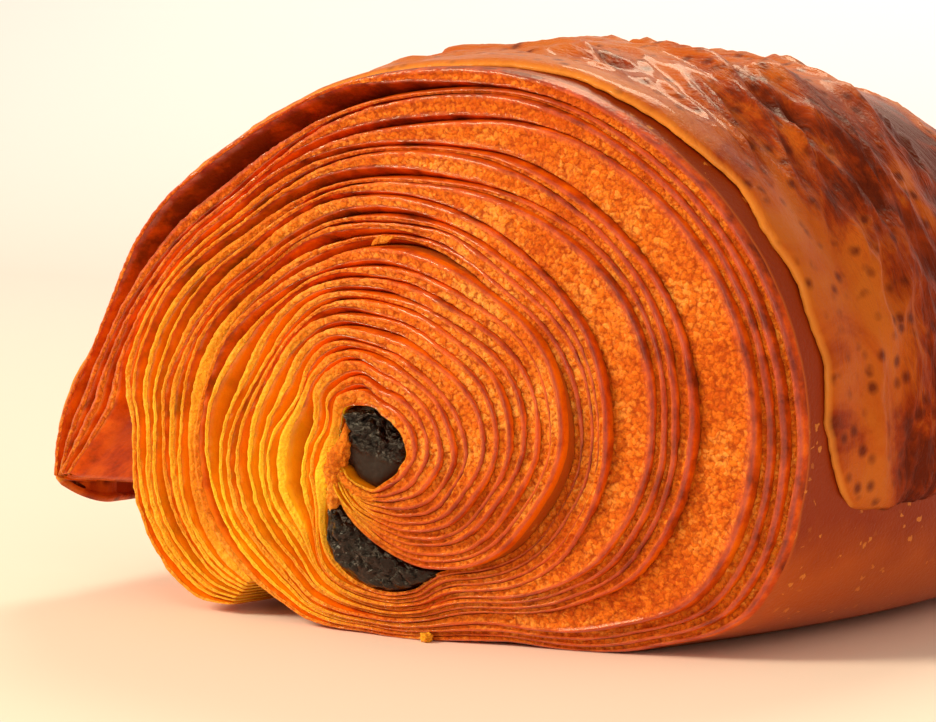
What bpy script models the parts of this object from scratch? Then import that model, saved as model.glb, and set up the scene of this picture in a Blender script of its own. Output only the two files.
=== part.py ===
"""Pain au chocolat: one laminated dough sheet rolled round two chocolate sticks, baked and glazed.

Run with: blender --background --python part.py
Metres, +Z up. The roll lies along Y, its shown end towards -Y, and it rests on z = 0 with the
origin under the middle of its bounding box.
"""
import math

import bmesh
import bpy
from mathutils import Vector, noise

MM = 0.001

# Where the roll's centre line lies: right of the origin, because the flap reaches further left
CENTRE_X = 4.5 * MM
CENTRE_Y = 0.45 * MM
CENTRE_Z = 18.0 * MM
HALF_LENGTH = 46.0 * MM

# Winding angles of the rolled sheet in degrees. Seen from the shown end it starts left of the upper
# stick and winds under, up the right side, over the top and down the left, twice.
SHEET_START = -161.0
INNER_TURN_END = SHEET_START + 360.0
FLAP_START = 535.0
FLAP_END = 547.0
SHEET_END = 577.0

# Section of the roll: (winding angle in degrees, distance from the centre line in mm)
OUTER_FACE = (
    (-161, 5.9), (-119, 8.7), (-97, 8.9), (-72, 10.4), (-48, 13.4), (-20, 15.8), (3, 18.2),
    (29, 18.9), (58, 17.8), (95, 18.0), (132, 19.0), (161, 22.0), (199, 25.0), (229, 22.0),
    (258, 18.3), (296, 19.6), (322, 28.0), (337, 34.2), (362, 36.4), (387, 36.9), (417, 35.9),
    (448, 33.8), (474, 33.8), (486, 34.3), (496, 35.3), (504, 36.6), (512, 37.6), (521, 38.5), (530, 40.3),
    (537, 43.1), (541, 44.7), (547, 45.9),
)
CHANNEL_FACE = ((-161, 5.4), (-119, 4.2), (-72, 3.3), (29, 3.7), (95, 3.8), (132, 4.4), (184, 3.6), (199, 5.6))
POCKET_FACE = ((205, 6.0), (217, 8.8), (229, 10.8), (258, 13.7), (294, 12.9), (305, 13.4))
TAIL_OUTER = ((535, 33.7), (543, 33.8), (553, 34.9), (560, 34.6), (566, 33.5), (572, 31.4), (577, 28.2))
FLAP_INNER = ((535, 34.3), (538, 35.2), (541, 37.4), (547, 43.3))

# How far each end falls back at its rim in mm, by plain angle: it domes towards its middle
RIM_SETBACK = (
    (0, 12.7), (20, 11.9), (38, 10.6), (50, 9.1), (64, 7.9), (90, 7.5), (120, 6.5), (150, 5.0), (210, 5.0),
    (270, 5.5), (300, 8.0), (332, 12.2), (360, 12.7),
)
DOME_POWER = 1.6
TAIL_FOOT = 232.0
RIM_MOST = 38.0

# Fullness of the body between its ends
BULGE = 0.11
FAR_END_TAPER = 0.04
FAR_TOP_DROP = 0.31
TAPER_FROM = -12.0 * MM
TAPER_POWER = 1.8
FAR_END_SHORTER = 0.8 * MM
FAR_END_TURNED = 40.0
FLAP_SAG = 4.5

# Lamination, shown as relief on both ends
LEAVES_PER_SHEET = 4
POINTS_PER_LEAF = 3
GROOVE_DEPTH = 1.5 * MM
SEAM_DEPTH = 1.6 * MM
LEAF_TILT = 0.35 * MM
LEAF_WAVE = 0.7 * MM
LEAF_SHIFT = 0.028
LEAF_SHIFT_ANGLE = 55.0

# The outermost leaf of crust stops short of each end: (plain angle, distance from the rim in mm)
CRUST_EDGE = (
    (0, 4.7), (10, 4.0), (35, 3.8), (50, 3.0), (72, 2.4), (85, 1.5), (170, 1.3), (230, 2.5), (300, 6.0),
    (340, 8.0), (351, 7.0), (360, 4.7),
)
CRUST_EDGE_WAVE = 0.9 * MM
CRUST_FOOT = 353.5
CRUST_STEP = 0.8 * MM
WRINKLE = 1.8 * MM
WRINKLE_SUNK = 0.45
WRINKLE_LENGTH = 10.0 * MM
CALM_EDGE = 9.0 * MM

# Chocolate sticks
STICK_GAP = 0.35 * MM
UPPER_STICK_RECESS = 0.8 * MM
LOWER_STICK_RECESS = 0.3 * MM
POCKET_START = 212.0
POCKET_END = 300.0
STICK_LUMP = 0.25 * MM

# Mesh steps
STEPS_PER_TURN = 60
ROWS_ALONG = 20
POCKET_STEPS = 14
HOLE_STEPS = 28
STICK_ROWS = 9
FLAP_LEAVES_FROM = 8
ACROSS = LEAVES_PER_SHEET * POINTS_PER_LEAF
STEP = 360.0 / STEPS_PER_TURN
LAST = round((SHEET_END - SHEET_START) / STEP)
FLAP_FIRST = round((FLAP_START - SHEET_START) / STEP)
FLAP_LAST = round((FLAP_END - SHEET_START) / STEP)


def between(keys, x):
    """Smooth value at x of (x, value) keys: a cubic through them, with level ends."""
    if x <= keys[0][0]:
        return keys[0][1]
    if x >= keys[-1][0]:
        return keys[-1][1]
    i = next(n for n in range(1, len(keys)) if x <= keys[n][0])
    (x0, y0), (x1, y1) = keys[i - 1], keys[i]
    before, after = keys[max(i - 2, 0)], keys[min(i + 1, len(keys) - 1)]
    span = x1 - x0
    slope0 = (y1 - before[1]) / (x1 - before[0]) * span
    slope1 = (after[1] - y0) / (after[0] - x0) * span
    t = (x - x0) / span
    return (
        y0 * (2 * t**3 - 3 * t**2 + 1) + slope0 * (t**3 - 2 * t**2 + t)
        + y1 * (3 * t**2 - 2 * t**3) + slope1 * (t**3 - t**2)
    )


def smooth_step(low, high, x):
    t = min(max((x - low) / (high - low), 0.0), 1.0)
    return t * t * (3 - 2 * t)


def wave(x, y, z, seed):
    """Smooth noise from -1 to 1."""
    return noise.noise(Vector((x + 17.3 * seed, y - 9.1 * seed, z + 4.7 * seed)))


def rim_radius(angle):
    """The outermost face of the roll at a plain angle, ignoring the lifted flap."""
    plain = angle % 360.0
    if plain > TAIL_FOOT:
        return between(OUTER_FACE, plain) * MM
    over_top = min(between(OUTER_FACE, plain + 360.0), RIM_MOST)
    to_foot = smooth_step(180.0, TAIL_FOOT, plain)
    return (over_top + (between(OUTER_FACE, TAIL_FOOT) - over_top) * to_foot) * MM


def leaf_share(turn, across):
    """How far through the sheet a mesh column lies, from 0 at its inner face to 1 at its outer face."""
    share = across / ACROSS
    if 0 < across < ACROSS:
        leaf = across // POINTS_PER_LEAF
        share += LEAF_SHIFT * wave(turn / LEAF_SHIFT_ANGLE, leaf * 3.1, 0.0, 1)
    return share


def inner_face(turn):
    """Inner face of the sheet in mm: the channel, then the outer face of the turn before it."""
    if turn < INNER_TURN_END - 1e-6:
        return between(CHANNEL_FACE, turn)
    inner = between(OUTER_FACE, turn - 360.0)
    if POCKET_FACE[0][0] < turn < POCKET_FACE[-1][0]:
        inner = max(inner, 0.5 * (inner + between(POCKET_FACE, turn)))
    return inner


def sheet_radius(turn, across):
    """Distance from the roll's centre line at a winding angle, for a mesh column of the sheet."""
    share = leaf_share(turn, across)
    inner, outer = inner_face(turn), between(OUTER_FACE, turn)
    if turn > FLAP_START:
        if across >= FLAP_LEAVES_FROM:
            inner = between(FLAP_INNER, turn)
            share = (across - FLAP_LEAVES_FROM) / (ACROSS - FLAP_LEAVES_FROM)
        else:
            outer = between(TAIL_OUTER, turn)
            share = across / (FLAP_LEAVES_FROM - 1)
    return (inner + (outer - inner) * share) * MM


def dome_depth(angle, radius, end):
    """How far an end has fallen back at a point of the section. end is -1 or 1."""
    turned = angle if end < 0 else angle + FAR_END_TURNED
    setback = between(RIM_SETBACK, turned % 360.0) * MM
    return setback * min(radius / rim_radius(angle), 1.08) ** DOME_POWER


def half_length(end):
    return HALF_LENGTH - (FAR_END_SHORTER if end > 0 else 0.0)


def end_depth(turn, across, end):
    """Y of the end face at a mesh column, with the leaves as ridges and grooves between them."""
    leaf, place_in_leaf = divmod(across, POINTS_PER_LEAF)
    relief = 0.0
    if place_in_leaf == 0:
        relief = GROOVE_DEPTH * (0.75 + 0.5 * wave(turn / 40.0, leaf * 2.3, end, 2))
        if across == 0 and turn > INNER_TURN_END:
            relief += SEAM_DEPTH * math.cos(math.radians(turn + 10.0)) ** 2
    else:
        relief = LEAF_WAVE * wave(turn / 35.0, leaf * 1.7 + turn // 360, end, 3)
        relief += LEAF_TILT * (place_in_leaf - 1)
    return end * (half_length(end) - dome_depth(turn, sheet_radius(turn, across), end) - relief)


def crust_relief(turn, y):
    """Blisters and slanting folds of the glazed top, fading out towards the smooth sides and base."""
    angle = math.radians(turn)
    round_way = 36.0 * MM * angle
    top = smooth_step(-0.3, 0.35, math.sin(angle))
    slant = (round_way + 0.5 * y) / WRINKLE_LENGTH
    blister = wave(slant, (y - 0.35 * round_way) / (1.6 * WRINKLE_LENGTH), 0.0, 4)
    fold = 1.0 - 2.5 * abs(wave(slant * 0.8, y / (2.4 * WRINKLE_LENGTH), 3.0, 5))
    return WRINKLE * (0.12 + 0.88 * top) * (0.9 * blister + 0.6 * fold - WRINKLE_SUNK)


def place(turn, across, y, lift=0.0):
    """Point of the roll in space: winding angle, mesh column across the sheet, place along the roll."""
    radius = sheet_radius(turn, across)
    fullness = min(radius / rim_radius(turn), 1.0) ** 2
    front = HALF_LENGTH - between(RIM_SETBACK, turn % 360.0) * MM
    swell = (front**2 - min(y * y, front**2 * 1.3)) / HALF_LENGTH**2
    top = smooth_step(-0.3, 0.6, math.sin(math.radians(turn)))
    towards_far = max(0.0, (y - TAPER_FROM) / (HALF_LENGTH - TAPER_FROM))
    taper = (FAR_END_TAPER + FAR_TOP_DROP * top) * towards_far**TAPER_POWER
    radius *= 1 + fullness * (BULGE * swell - taper)
    radius += lift
    angle = turn
    if across >= FLAP_LEAVES_FROM:
        angle += FLAP_SAG * smooth_step(FLAP_START, FLAP_END, turn) * smooth_step(-0.95, -0.7, y / HALF_LENGTH)
    return section_point(angle, radius, y)


def section_point(angle, radius, y):
    turned = math.radians(angle)
    z = CENTRE_Z + radius * math.sin(turned)
    return Vector((CENTRE_X + radius * math.cos(turned), CENTRE_Y + y, max(z, 0.0)))


def shared(step, across):
    """The sheet's outer face is the inner face of the next turn: the mesh point that stands for both."""
    if across == ACROSS and step + STEPS_PER_TURN <= LAST:
        return step + STEPS_PER_TURN, 0
    return step, across


def outer_outline():
    """Mesh points round the outside: over the top, down the flap, into the notch and round the tail."""
    first = LAST - STEPS_PER_TURN + 1
    top = [(step, ACROSS) for step in range(first, FLAP_LAST + 1)]
    flap_tip = [(FLAP_LAST, across) for across in range(ACROSS - 1, FLAP_LEAVES_FROM - 1, -1)]
    notch = [(step, FLAP_LEAVES_FROM) for step in range(FLAP_LAST - 1, FLAP_FIRST - 1, -1)]
    tail = [(step, FLAP_LEAVES_FROM - 1) for step in range(FLAP_FIRST, LAST + 1)]
    tail_tip = [(LAST, across) for across in range(FLAP_LEAVES_FROM - 2, -1, -1)]
    return top + flap_tip + notch + tail + tail_tip


def hole_outline():
    """Mesh points round the channel of the upper stick, closed by the sheet's own starting edge."""
    inside = [(step, 0) for step in range(0, STEPS_PER_TURN + 1)]
    start_edge = [(0, across) for across in range(ACROSS - 1, 0, -1)]
    return inside + start_edge


def turn_of(step):
    return SHEET_START + step * STEP


def has_leaf(step, across):
    """Whether the sheet has a mesh face here: it has none in the notch or past the flap's tip."""
    if step < FLAP_FIRST or across < FLAP_LEAVES_FROM - 1:
        return True
    return across >= FLAP_LEAVES_FROM and step < FLAP_LAST


def add_end(bm, end):
    """The spiral end face. Returns its mesh points by (step, across)."""
    points = {}
    for step in range(LAST + 1):
        for across in range(ACROSS + 1):
            key = shared(step, across)
            past_tip = step > FLAP_LAST and across >= FLAP_LEAVES_FROM
            if key in points or past_tip:
                continue
            turn = turn_of(key[0])
            points[key] = bm.verts.new(place(turn, key[1], end_depth(turn, key[1], end)))
    for step in range(LAST):
        for across in range(ACROSS):
            if not has_leaf(step, across):
                continue
            corners = ((step, across), (step + 1, across), (step + 1, across + 1), (step, across + 1))
            face = [points[shared(*corner)] for corner in corners]
            bm.faces.new(face if end < 0 else reversed(face))
    return points


def crust_back(turn, end):
    """How far behind the rim the crust leaf's torn edge lies."""
    torn = CRUST_EDGE_WAVE * wave(turn / 22.0, end, 0.0, 8)
    return max(between(CRUST_EDGE, turn % 360.0) * MM + torn, 0.8 * MM)


def rows_between(turn, front, back, crusted):
    """(y, lift) of each row of mesh points from one end to the other, stepping up onto the crust leaf."""
    start, stop = front + crust_back(turn, -1), back - crust_back(turn, 1)
    lift = CRUST_STEP * smooth_step(CRUST_FOOT - 16.0, CRUST_FOOT, turn) if crusted else 0.0
    rows = [(0.6 * front + 0.4 * start, 0.0), (start, 0.0)]
    for n in range(ROWS_ALONG + 1):
        rows.append((start + 0.5 * MM + (stop - start - 1.0 * MM) * n / ROWS_ALONG, lift))
    return rows + [(stop, 0.0), (0.6 * back + 0.4 * stop, 0.0)]


def add_sides(bm, outline, front_points, back_points):
    """The long faces of the roll: rows of mesh points that join the outlines of its two ends."""
    columns = []
    for step, across in outline:
        turn = turn_of(step)
        front, back = front_points[(step, across)], back_points[(step, across)]
        rows = rows_between(turn, front.co.y - CENTRE_Y, back.co.y - CENTRE_Y, across == ACROSS)
        column = [front]
        for y, lift in rows:
            from_edge = min(y - rows[0][0], rows[-1][0] - y)
            calm = 0.3 + 0.7 * smooth_step(0.0, CALM_EDGE, from_edge)
            relief = calm * crust_relief(turn, y) if lift else 0.0
            column.append(bm.verts.new(place(turn, across, y, lift + relief)))
        columns.append(column + [back])
    join_columns(bm, columns)


def add_channel(bm, outline, front_points, back_points):
    """The wall of the upper stick's channel, from end to end."""
    columns = []
    for key in outline:
        step, across = shared(*key)
        middle = bm.verts.new(place(turn_of(step), across, 0.0))
        columns.append([front_points[(step, across)], middle, back_points[(step, across)]])
    join_columns(bm, columns[::-1])


def join_columns(bm, columns):
    for column, following in zip(columns, columns[1:] + columns[:1]):
        for a, b, c, d in zip(column, column[1:], following[1:], following):
            bm.faces.new((a, b, c, d))


def finish_mesh(name, bm, material, smooth_angle=35.0):
    """Makes the object of a bmesh, triangulated so that every flat stays flat."""
    bmesh.ops.remove_doubles(bm, verts=bm.verts[:], dist=1e-6)
    bmesh.ops.recalc_face_normals(bm, faces=bm.faces[:])
    bmesh.ops.triangulate(bm, faces=bm.faces[:])
    mesh = bpy.data.meshes.new(name)
    bm.to_mesh(mesh)
    bm.free()
    mesh.materials.append(material)
    mesh.shade_smooth()
    mesh.set_sharp_from_angle(angle=math.radians(smooth_angle))
    made = bpy.data.objects.new(name, mesh)
    bpy.context.scene.collection.objects.link(made)
    return made


def pocket_section(inset):
    """Section of the lower stick's pocket as (angle, radius), between the sheet's first and second turns."""
    lower, upper = [], []
    for n in range(POCKET_STEPS + 1):
        towards_end = 2.0 * n / POCKET_STEPS - 1
        turn = POCKET_START + (POCKET_END - POCKET_START) * n / POCKET_STEPS
        turn -= math.degrees(1.5 * towards_end * inset / (between(POCKET_FACE, turn) * MM))
        inner = between(OUTER_FACE, turn - 360.0) * MM + inset
        outer = between(POCKET_FACE, turn) * MM - inset
        end_round = math.sqrt(max(0.0, 1 - towards_end**4))
        middle, half = 0.5 * (inner + outer), max(0.5 * (outer - inner), 0.15 * MM) * end_round
        lower.append((turn, middle + half))
        upper.append((turn, middle - half))
    return lower + upper[-2:0:-1]


def channel_section(inset):
    """Section of the upper stick as (angle, radius), a little inside the channel of the first turn."""
    section = []
    for n in range(HOLE_STEPS):
        turn = SHEET_START + 360.0 * n / HOLE_STEPS
        section.append((turn, between(CHANNEL_FACE, turn) * MM - inset))
    return section


def bar(name, section, reach, rows, lump, material):
    """A bar along Y. reach(angle, radius, end) is how far it goes; lump hollows its melted faces."""
    bm = bmesh.new()
    flat = [section_point(angle, radius, -CENTRE_Y) for angle, radius in section]
    loops = []
    for row in range(rows + 1):
        loop = []
        for n, (angle, radius) in enumerate(section):
            front, back = -reach(angle, radius, -1), reach(angle, radius, 1)
            y = front + (back - front) * row / rows
            along = flat[(n + 1) % len(flat)] - flat[n - 1]
            inward = Vector((-along.z, 0.0, along.x)).normalized()
            hollow = lump * 0.5 * (1.0 + wave(flat[n].x / (3 * MM), y / (5 * MM), flat[n].z / (3 * MM), 6))
            loop.append(bm.verts.new(flat[n] + inward * hollow + Vector((0.0, CENTRE_Y + y, 0.0))))
        loops.append(loop)
    join_columns(bm, [list(column) for column in zip(*loops)])
    for loop, out in ((loops[0], -1), (loops[-1], 1)):
        cap = bm.faces.new(loop)
        bmesh.ops.inset_individual(bm, faces=[cap], thickness=0.6 * MM, depth=0.0)
        for vert in cap.verts:
            vert.co.y += out * lump * (0.8 + 1.4 * wave(vert.co.x / (2 * MM), out, vert.co.z / (2 * MM), 7))
    return finish_mesh(name, bm, material)


def stick_reach(recess):
    """The sticks end level with the domed end faces, a little inside them."""
    return lambda angle, radius, end: half_length(end) - dome_depth(angle, radius, end) - recess


def make_material(name, colour, roughness):
    material = bpy.data.materials.new(name)
    material.use_nodes = True
    shader = material.node_tree.nodes["Principled BSDF"]
    shader.inputs["Base Color"].default_value = (*colour, 1.0)
    shader.inputs["Roughness"].default_value = roughness
    shader.inputs["Metallic"].default_value = 0.0
    return material


def make_pastry(material):
    bm = bmesh.new()
    front_points = add_end(bm, -1)
    back_points = add_end(bm, 1)
    add_sides(bm, outer_outline(), front_points, back_points)
    add_channel(bm, hole_outline(), front_points, back_points)
    return finish_mesh("pastry", bm, material)


def cut_pocket(pastry, material):
    """Cuts the lower stick's pocket through the pastry from end to end."""
    past_end = HALF_LENGTH + 6.0 * MM
    cutter = bar("pocket_cutter", pocket_section(0.0), lambda angle, radius, end: past_end, 1, 0.0, material)
    cutter.hide_render = True
    cutter.display_type = "WIRE"
    cut = pastry.modifiers.new("lower_pocket", "BOOLEAN")
    cut.operation = "DIFFERENCE"
    cut.solver = "EXACT"
    cut.object = cutter


def main():
    for old in list(bpy.data.objects):
        bpy.data.objects.remove(old)
    dough = make_material("baked_dough", (0.72, 0.30, 0.07), 0.45)
    chocolate = make_material("chocolate", (0.035, 0.016, 0.011), 0.35)
    pastry = make_pastry(dough)
    cut_pocket(pastry, dough)
    for name, section, recess in (
        ("chocolate_stick_upper", channel_section(STICK_GAP), UPPER_STICK_RECESS),
        ("chocolate_stick_lower", pocket_section(STICK_GAP), LOWER_STICK_RECESS),
    ):
        bar(name, section, stick_reach(recess), STICK_ROWS, STICK_LUMP, chocolate)


main()
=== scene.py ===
"""Looks of a pain au chocolat: a laminated sheet of baked leaves rolled round two chocolate sticks.

Every leaf of the sheet is its own thin closed band that follows the roll's spiral from its start at
the upper stick to the lifted flap or the tail. A glazed, blistered crust leaf lies over the top.
Lengths in the section functions are millimetres; meshes are in metres.
"""
import math

import bmesh
import bpy
import numpy as np
from mathutils import Matrix, Vector


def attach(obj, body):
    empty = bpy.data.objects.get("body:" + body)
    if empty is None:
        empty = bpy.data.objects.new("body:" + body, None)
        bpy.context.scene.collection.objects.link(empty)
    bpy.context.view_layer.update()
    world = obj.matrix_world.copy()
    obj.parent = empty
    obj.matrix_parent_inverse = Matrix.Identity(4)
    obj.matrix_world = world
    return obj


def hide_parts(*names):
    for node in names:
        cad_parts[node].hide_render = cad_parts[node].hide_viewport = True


bl_info = {
    "name": "Pain au chocolat",
    "version": (1, 0, 0),
    "blender": (4, 5, 0),
    "location": "View3D > Sidebar > Pastry",
    "description": "Builds the leaves, crust, chocolate and stage of a pain au chocolat",
    "category": "Object",
}

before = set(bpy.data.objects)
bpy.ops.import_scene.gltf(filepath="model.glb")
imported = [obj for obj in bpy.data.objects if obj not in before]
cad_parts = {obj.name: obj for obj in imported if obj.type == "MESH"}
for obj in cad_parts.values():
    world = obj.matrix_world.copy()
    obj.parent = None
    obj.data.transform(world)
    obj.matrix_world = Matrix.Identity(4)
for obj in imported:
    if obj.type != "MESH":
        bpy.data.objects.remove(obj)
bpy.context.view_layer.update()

MM = 0.001

# The roll's centre line and length, as in the solids
CENTRE = (4.5, 0.45, 18.0)
HALF_LENGTH = 46.0
FAR_END_SHORTER = 0.8
FAR_END_TURNED = 40.0

# Winding angles of the sheet in degrees
SHEET_START = -161.0
INNER_TURN_END = SHEET_START + 360.0
FLAP_START = 535.0
FLAP_END = 547.0
SHEET_END = 577.0

# Section of the roll: (winding angle, distance from the centre line in mm)
OUTER_FACE = (
    (-161, 5.9), (-140, 6.9), (-128, 7.5), (-119, 7.9), (-104, 8.7), (-90, 9.8), (-77, 11.1),
    (-64, 12.2), (-48, 13.6), (-20, 15.8), (3, 18.2), (29, 18.9), (58, 17.8), (95, 18.0), (132, 19.0),
    (161, 22.0), (199, 25.0), (229, 22.0), (258, 18.3), (296, 19.6), (322, 28.0), (337, 34.2),
    (362, 36.4), (387, 36.9), (417, 35.9), (448, 33.8), (474, 33.8), (486, 34.3), (496, 35.3),
    (504, 36.6), (512, 37.6), (521, 38.5), (530, 40.3), (537, 43.1), (541, 44.7), (547, 45.9),
)
CHANNEL_FACE = (
    (-161, 5.1), (-152, 4.4), (-139, 4.35), (-123, 4.15), (-104, 3.95), (-89, 3.45), (-64, 3.0),
    (-32, 3.0), (-8, 3.25), (11, 3.15), (48, 2.8), (84, 2.9), (102, 3.55), (122, 4.3), (133, 4.8),
    (143, 5.0), (160, 4.7), (184, 4.9), (199, 5.6),
)
POCKET_FACE = (
    (199, 5.9), (210, 7.0), (220, 8.6), (228, 11.0), (234, 12.6), (242, 13.5), (252, 13.8),
    (266, 13.6), (280, 13.0), (290, 12.7), (298, 12.7), (306, 13.0),
)
POCKET_CLOSES = (276.0, 300.0)
TAIL_OUTER = (
    (535, 33.7), (543, 33.8), (553, 34.9), (560, 34.6), (566, 33.5), (572, 31.4), (577, 28.2),
)
FLAP_INNER = ((535, 34.3), (538, 35.2), (541, 37.4), (547, 43.3))
RIM_SETBACK = (
    (0, 12.7), (20, 11.9), (38, 10.6), (50, 9.1), (64, 7.9), (90, 7.5), (120, 6.5), (150, 5.0),
    (210, 5.0), (270, 5.5), (300, 8.0), (332, 12.2), (360, 12.7),
)
# The domed ends, the fuller middle and the lower far end
DOME_POWER = 1.6
TAIL_FOOT = 232.0
RIM_MOST = 38.0
BULGE = 0.11
FAR_END_TAPER = 0.04
FAR_TOP_DROP = 0.31
TAPER_FROM = -12.0
TAPER_POWER = 1.8
FLAP_SAG = 4.5

# The crust leaf
CRUST_EDGE = (
    (0, 4.7), (10, 4.0), (35, 3.8), (50, 3.0), (72, 2.4), (85, 1.5), (170, 1.2), (230, 2.5),
    (300, 6.0), (340, 8.0), (351, 7.0), (360, 4.7),
)
CRUST_EDGE_WAVE = 0.9
CRUST_FOOT = 352.0
CRUST_FOOT_RISE = 0.12
CRUST_FOOT_FROM = -24.0
CRUST_STEP = 0.8
CRUST_THICKNESS = 0.75
CRUST_SPACING = 0.48
CRUST_ROWS = 165
WRINKLE = 1.8
WRINKLE_SUNK = 0.55
CALM_EDGE = 9.0
# How far the crust and the leaf under it sink away from the torn edges, in mm
SETTLED = 0.9
# Dents deeper than the first height ease towards the second, clear of the leaf below
DENT_SOFT = -0.25
DENT_FLOOR = -0.72
DENT_REACH = 5.0
# The crust's usual distance from the centre line, and its tip's, which turn degrees into lengths
ROUND_RADIUS = 36.0
TIP_RADIUS = 44.0

# How the sheet splits into leaves, and where the flap's leaves turn brown
FLAP_LEAVES_FROM = 8
LEAVES = 12
SHARE_OF_FLAP = FLAP_LEAVES_FROM / LEAVES
FLAP_BROWNS = (440.0, 490.0)

# The lower stick's pocket, and the sticks' clearances and rows
POCKET_START = 223.0
POCKET_END = 291.0
UPPER_CLEARANCE = 0.12
LOWER_CLEARANCE = 0.1
STICK_ROWS = 12

# The camera, in degrees, millimetres and the photograph's pixels
CAMERA_AZIMUTH = 38.0
CAMERA_ELEVATION = 5.0
CAMERA_DISTANCE = 320.0
PIXELS_PER_MM = 11.2
FRAME_PIXELS = (936, 722)
AIM_PIXEL = (375, 448)
SENSOR = 36.0

# The paper sweep, in metres: where it lies and where it starts to rise, and how steeply
SWEEP_HALF_WIDTH = 2.6
SWEEP_REACH = 1.6
SWEEP_MIDDLE = 0.6
SWEEP_FROM = 0.26
SWEEP_CURVE = 0.42


def between(keys, x):
    """Smooth value at x of (x, value) keys: a cubic through them, with level ends."""
    xs, ys = (np.array(column, float) for column in zip(*keys))
    slopes = np.empty_like(ys)
    slopes[1:-1] = (ys[2:] - ys[:-2]) / (xs[2:] - xs[:-2])
    slopes[0] = (ys[1] - ys[0]) / (xs[1] - xs[0])
    slopes[-1] = (ys[-1] - ys[-2]) / (xs[-1] - xs[-2])
    x = np.clip(np.asarray(x, float), xs[0], xs[-1])
    i = np.clip(np.searchsorted(xs, x) - 1, 0, len(xs) - 2)
    span = xs[i + 1] - xs[i]
    t = (x - xs[i]) / span
    return (
        ys[i] * (2 * t**3 - 3 * t**2 + 1) + slopes[i] * span * (t**3 - 2 * t**2 + t)
        + ys[i + 1] * (3 * t**2 - 2 * t**3) + slopes[i + 1] * span * (t**3 - t**2)
    )


def smooth_step(low, high, x):
    t = np.clip((np.asarray(x, float) - low) / (high - low), 0.0, 1.0)
    return t * t * (3 - 2 * t)


def mix(a, b, share):
    return a + (b - a) * share


def hashed(ix, iy, iz, seed):
    """A pseudo-random 32-bit number for each lattice corner."""
    h = (ix * 374761393 + iy * 668265263 + iz * 1274126177 + seed * 974634777) & 0xFFFFFFFF
    h = ((h ^ (h >> 13)) * 1103515245) & 0xFFFFFFFF
    h = ((h ^ (h >> 15)) * 2246822519) & 0xFFFFFFFF
    return h ^ (h >> 16)


def grain(x, y, z, seed):
    """Smooth gradient noise from about -1 to 1 on arrays of places."""
    x, y, z = np.broadcast_arrays(*(np.asarray(v, float) for v in (x, y, z)))
    corner = [np.floor(v).astype(np.int64) for v in (x, y, z)]
    local = [v - c for v, c in zip((x, y, z), corner)]
    fade = [t * t * t * (t * (t * 6 - 15) + 10) for t in local]
    total = np.zeros(x.shape)
    for dx in (0, 1):
        for dy in (0, 1):
            for dz in (0, 1):
                h = hashed(corner[0] + dx, corner[1] + dy, corner[2] + dz, seed)
                slope = [((h >> shift) & 1023) / 511.5 - 1.0 for shift in (0, 10, 20)]
                value = sum(s * (t - d) for s, t, d in zip(slope, local, (dx, dy, dz)))
                weight = 1.0
                for f, d in zip(fade, (dx, dy, dz)):
                    weight = weight * (f if d else 1 - f)
                total += weight * value
    return total * 1.6


def rim_radius(angle):
    """The outermost face of the roll at a plain angle, ignoring the lifted flap."""
    plain = np.asarray(angle, float) % 360.0
    over_top = np.minimum(between(OUTER_FACE, plain + 360.0), RIM_MOST)
    foot = between(OUTER_FACE, TAIL_FOOT)
    turning = over_top + (foot - over_top) * smooth_step(180.0, TAIL_FOOT, plain)
    return np.where(plain > TAIL_FOOT, between(OUTER_FACE, plain), turning)


def inner_face(turn):
    """Inner face of the sheet: the channel, then the outer face of the turn before it or the pocket."""
    turn = np.asarray(turn, float)
    second = between(OUTER_FACE, turn - 360.0)
    pocket = np.maximum(between(POCKET_FACE, turn) - second, 0.0) * (1 - smooth_step(*POCKET_CLOSES, turn))
    return np.where(turn < INNER_TURN_END, between(CHANNEL_FACE, turn), second + pocket)


def sheet_radius(turn, share, in_flap):
    """Distance from the centre line at a share of the sheet's thickness, 0 inside to 1 outside."""
    inner, outer = inner_face(turn), between(OUTER_FACE, turn)
    whole = mix(inner, outer, share)
    flap_share = (share - SHARE_OF_FLAP) / (1 - SHARE_OF_FLAP)
    flap = mix(between(FLAP_INNER, turn), outer, flap_share)
    tail = mix(inner, between(TAIL_OUTER, turn), share / SHARE_OF_FLAP)
    opened = flap if in_flap else tail
    return mix(whole, opened, smooth_step(FLAP_START - 8.0, FLAP_START + 6.0, turn))


def dome_depth(angle, radius, end):
    """How far an end has fallen back at a point of the section. end is -1 or 1."""
    turned = np.asarray(angle, float) + (FAR_END_TURNED if end > 0 else 0.0)
    setback = between(RIM_SETBACK, turned % 360.0)
    return setback * np.minimum(radius / rim_radius(angle), 1.08) ** DOME_POWER


def half_length(end):
    return HALF_LENGTH - (FAR_END_SHORTER if end > 0 else 0.0)


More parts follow.
